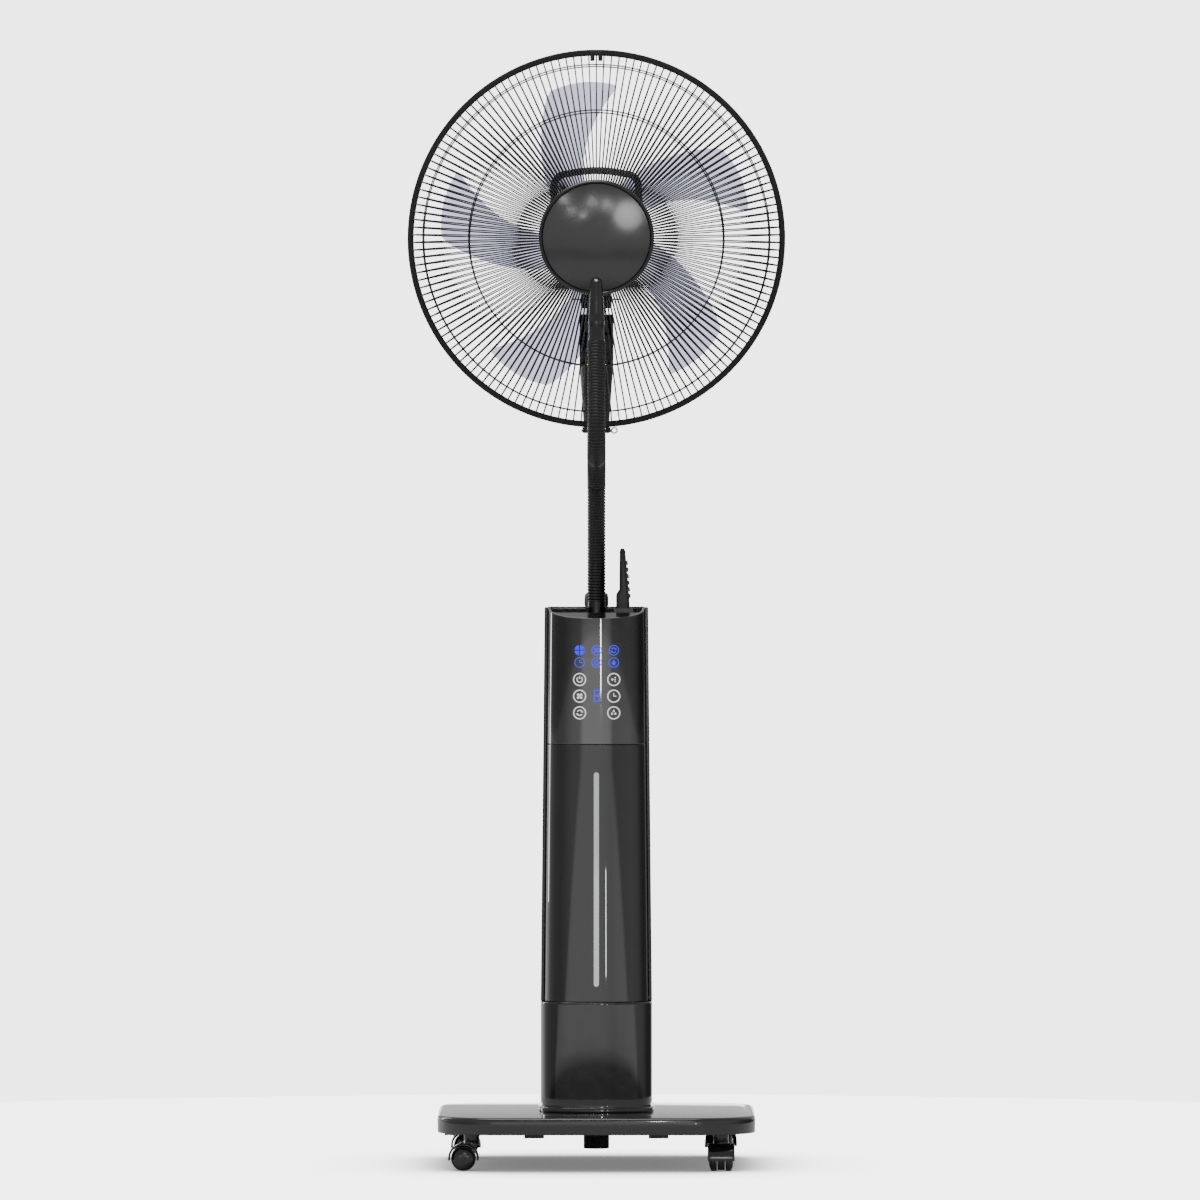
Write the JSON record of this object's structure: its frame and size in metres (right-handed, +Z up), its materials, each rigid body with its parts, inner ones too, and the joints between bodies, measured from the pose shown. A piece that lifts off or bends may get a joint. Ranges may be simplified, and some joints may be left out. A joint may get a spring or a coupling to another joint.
{
  "type": "misting pedestal fan",
  "caption": "Free-standing misting fan: guarded axial fan head on a telescopic pole over a water-tank column with corrugated mist hose, docked remote and caster base.",
  "frame": {"origin": "on the floor, under the middle of the object's box", "axes": "+Z up, the fan blows towards -Y, +X to the right as seen from the front"},
  "size_m": [0.4399, 0.36, 1.301],
  "materials": {
    "gloss_black": "gloss",
    "black_plastic": "satin",
    "smoked_gloss": "gloss",
    "circuit_board": "satin",
    "white_plastic": "satin",
    "dark_tube": "satin",
    "black_rubber": "matte",
    "plated_steel": "satin",
    "hose_rubber": "satin",
    "clear_tank": "clear",
    "window_plastic": "satin",
    "cast_metal": "cast",
    "motor_steel": "laminated",
    "guard_wire": "satin",
    "grey_gloss": "gloss",
    "smoke_blade": "translucent",
    "wheel_plastic": "satin"
  },
  "bodies": {
    "stand": {"base_plate": "gloss_black", "base_underplate": "black_plastic", "base_nut": "black_plastic", "lower_housing": "smoked_gloss", "column_shell": "smoked_gloss", "control_panel": "smoked_gloss", "display_board": "circuit_board", "top_tray": "smoked_gloss", "nebulizer_basin": "white_plastic", "mist_duct": "white_plastic", "blower_housing": "black_plastic", "pole_outer_tube": "dark_tube", "remote_dock": "black_plastic", "cord_inlet": "black_rubber", "column_screws": "plated_steel", "mist_hose": "hose_rubber"},
    "tank": {"water_tank": "clear_tank", "tank_front": "smoked_gloss", "level_window": "window_plastic", "tank_valve": "white_plastic"},
    "blower": {"blower_impeller": "white_plastic"},
    "collar": {"height_collar": "black_plastic"},
    "pole": {"inner_pole": "dark_tube", "neck_socket": "black_plastic"},
    "neck": {"tilt_bracket": "black_plastic", "tilt_bolt": "plated_steel"},
    "head": {"motor_housing": "black_plastic", "motor_front_bell": "cast_metal", "stator": "motor_steel", "motor_bearings": "plated_steel", "swing_base": "black_plastic", "swing_motor": "plated_steel", "rear_guard": "guard_wire", "front_guard": "guard_wire", "guard_hoop": "black_plastic", "guard_clips": "black_plastic", "badge_disc": "grey_gloss", "carry_handle": "black_plastic", "mist_nozzle": "gloss_black"},
    "rotor": {"fan_blades": "smoke_blade", "motor_shaft": "plated_steel", "rotor_core": "motor_steel", "spinner_nut": "smoke_blade"},
    "remote": {"remote_body": "gloss_black"},
    "button_1": {"remote_button_1": "black_rubber"},
    "button_2": {"remote_button_2": "black_rubber"},
    "button_3": {"remote_button_3": "black_rubber"},
    "button_4": {"remote_button_4": "black_rubber"},
    "button_5": {"remote_button_5": "black_rubber"},
    "button_6": {"remote_button_6": "black_rubber"},
    "caster_front_left": {"caster_front_left": "black_plastic"},
    "wheels_front_left": {"wheels_front_left": "wheel_plastic"},
    "caster_front_right": {"caster_front_right": "black_plastic"},
    "wheels_front_right": {"wheels_front_right": "wheel_plastic"},
    "caster_rear_left": {"caster_rear_left": "black_plastic"},
    "wheels_rear_left": {"wheels_rear_left": "wheel_plastic"},
    "caster_rear_right": {"caster_rear_right": "black_plastic"},
    "wheels_rear_right": {"wheels_rear_right": "wheel_plastic"},
    "brake_left": {"brake_lever_left": "black_plastic"},
    "brake_right": {"brake_lever_right": "black_plastic"}
  },
  "joints": [
    {"name": "tank_slide", "type": "slide", "parent": "stand", "child": "tank", "axis": [0, -1, 0], "range_m": [0, 0.1]},
    {"name": "blower_spin", "type": "hinge", "parent": "stand", "child": "blower", "pos_m": [0, -0.008, 0.1], "axis": [0, 0, 1], "continuous": true},
    {"name": "collar_twist", "type": "hinge", "parent": "stand", "child": "collar", "pos_m": [0, 0.052, 0.659], "axis": [0, 0, 1], "range_deg": [0, 45]},
    {"name": "pole_height", "type": "slide", "parent": "stand", "child": "pole", "axis": [0, 0, 1], "range_m": [-0.08, 0], "deforming": ["mist_hose"]},
    {"name": "head_tilt", "type": "hinge", "parent": "pole", "child": "neck", "pos_m": [0, 0.052, 0.952], "axis": [-1, 0, 0], "range_deg": [-10, 20]},
    {"name": "head_swing", "type": "hinge", "parent": "neck", "child": "head", "pos_m": [0, 0.052, 1], "axis": [0, 0, 1], "range_deg": [-40, 40]},
    {"name": "blade_spin", "type": "hinge", "parent": "head", "child": "rotor", "pos_m": [0, 0, 1.081], "axis": [0, -1, 0], "continuous": true},
    {"name": "remote_lift", "type": "slide", "parent": "stand", "child": "remote", "axis": [0, 0, 1], "range_m": [0, 0.048]},
    {"name": "button_press_1", "type": "slide", "parent": "remote", "child": "button_1", "axis": [-0.9966, 0, -0.0826], "range_m": [0, 0.0008], "stiffness_N_per_m": 400, "springref_m": -0.0004},
    {"name": "button_press_2", "type": "slide", "parent": "remote", "child": "button_2", "axis": [-0.9966, 0, -0.0826], "range_m": [0, 0.0008], "stiffness_N_per_m": 400, "springref_m": -0.0004},
    {"name": "button_press_3", "type": "slide", "parent": "remote", "child": "button_3", "axis": [-0.9966, 0, -0.0826], "range_m": [0, 0.0008], "stiffness_N_per_m": 400, "springref_m": -0.0004},
    {"name": "button_press_4", "type": "slide", "parent": "remote", "child": "button_4", "axis": [-0.9966, 0, -0.0826], "range_m": [0, 0.0008], "stiffness_N_per_m": 400, "springref_m": -0.0004},
    {"name": "button_press_5", "type": "slide", "parent": "remote", "child": "button_5", "axis": [-0.9966, 0, -0.0826], "range_m": [0, 0.0008], "stiffness_N_per_m": 400, "springref_m": -0.0004},
    {"name": "button_press_6", "type": "slide", "parent": "remote", "child": "button_6", "axis": [-0.9966, 0, -0.0826], "range_m": [0, 0.0008], "stiffness_N_per_m": 400, "springref_m": -0.0004},
    {"name": "swivel_front_left", "type": "hinge", "parent": "stand", "child": "caster_front_left", "pos_m": [-0.1445, -0.134, 0.045], "axis": [0, 0, 1], "continuous": true},
    {"name": "roll_front_left", "type": "hinge", "parent": "caster_front_left", "child": "wheels_front_left", "pos_m": [-0.154, -0.134, 0.01435], "axis": [0, 1, 0], "continuous": true},
    {"name": "swivel_front_right", "type": "hinge", "parent": "stand", "child": "caster_front_right", "pos_m": [0.1445, -0.134, 0.045], "axis": [0, 0, 1], "continuous": true},
    {"name": "roll_front_right", "type": "hinge", "parent": "caster_front_right", "child": "wheels_front_right", "pos_m": [0.1445, -0.1435, 0.01435], "axis": [-1, 0, 0], "continuous": true},
    {"name": "swivel_rear_left", "type": "hinge", "parent": "stand", "child": "caster_rear_left", "pos_m": [-0.1445, 0.134, 0.045], "axis": [0, 0, 1], "continuous": true},
    {"name": "roll_rear_left", "type": "hinge", "parent": "caster_rear_left", "child": "wheels_rear_left", "pos_m": [-0.154, 0.134, 0.01435], "axis": [0, 1, 0], "continuous": true},
    {"name": "brake_left", "type": "hinge", "parent": "caster_rear_left", "child": "brake_left", "pos_m": [-0.1664, 0.134, 0.02675], "axis": [0, -1, 0], "range_deg": [0, 18]},
    {"name": "swivel_rear_right", "type": "hinge", "parent": "stand", "child": "caster_rear_right", "pos_m": [0.1445, 0.134, 0.045], "axis": [0, 0, 1], "continuous": true},
    {"name": "roll_rear_right", "type": "hinge", "parent": "caster_rear_right", "child": "wheels_rear_right", "pos_m": [0.14696, 0.14318, 0.01435], "axis": [0.9659, -0.2588, 0], "continuous": true},
    {"name": "brake_right", "type": "hinge", "parent": "caster_rear_right", "child": "brake_right", "pos_m": [0.15017, 0.15515, 0.02675], "axis": [-0.9659, 0.2588, 0], "range_deg": [0, 18]}
  ]
}
